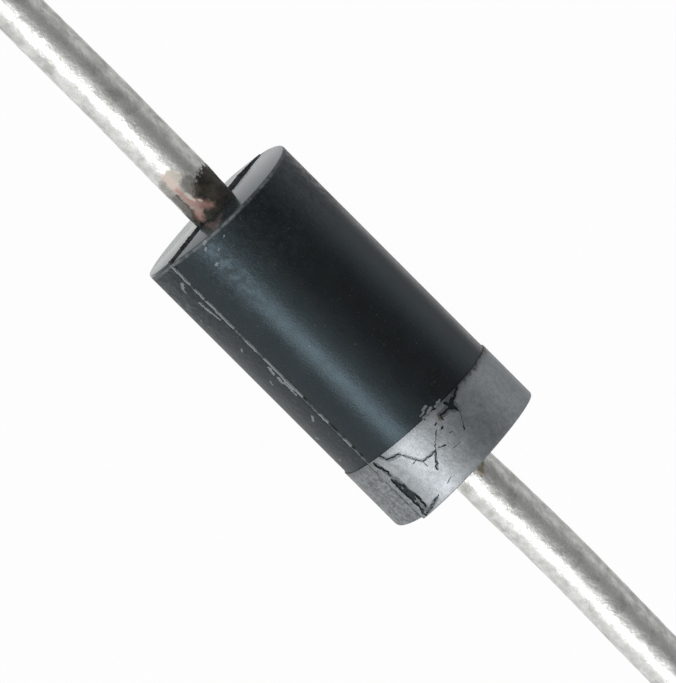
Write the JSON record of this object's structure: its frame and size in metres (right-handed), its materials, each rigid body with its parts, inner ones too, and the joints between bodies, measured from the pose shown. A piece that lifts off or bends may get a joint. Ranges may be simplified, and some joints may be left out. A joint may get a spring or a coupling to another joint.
{
  "type": "axial rectifier diode",
  "caption": "Axial rectifier diode in a black moulded epoxy body, with a printed cathode band and straight tin-plated wire leads.",
  "frame": {"origin": "centre of the moulded body, on the axis of the leads", "axes": "+X runs along the leads towards the cathode, which is the end with the printed band; the two mould halves meet in the plane z = 0, and +Z points to the upper half"},
  "size_m": [0.056, 0.0026, 0.0026],
  "materials": {
    "moulding_compound": "black transfer-moulded epoxy, half gloss",
    "band_ink": "silver-grey printed ink, satin",
    "tinned_copper": "dull dipped tin over copper wire",
    "silicon": "dark grey crystal, sawn edges",
    "solder": "soft solder, dull",
    "silicone": "white silicone rubber"
  },
  "bodies": {
    "root": {"moulded_body": "moulding_compound", "cathode_band": "band_ink", "cathode_lead": "tinned_copper", "anode_lead": "tinned_copper", "silicon_die": "silicon", "cathode_solder": "solder", "anode_solder": "solder", "junction_coating": "silicone"}
  },
  "joints": []
}
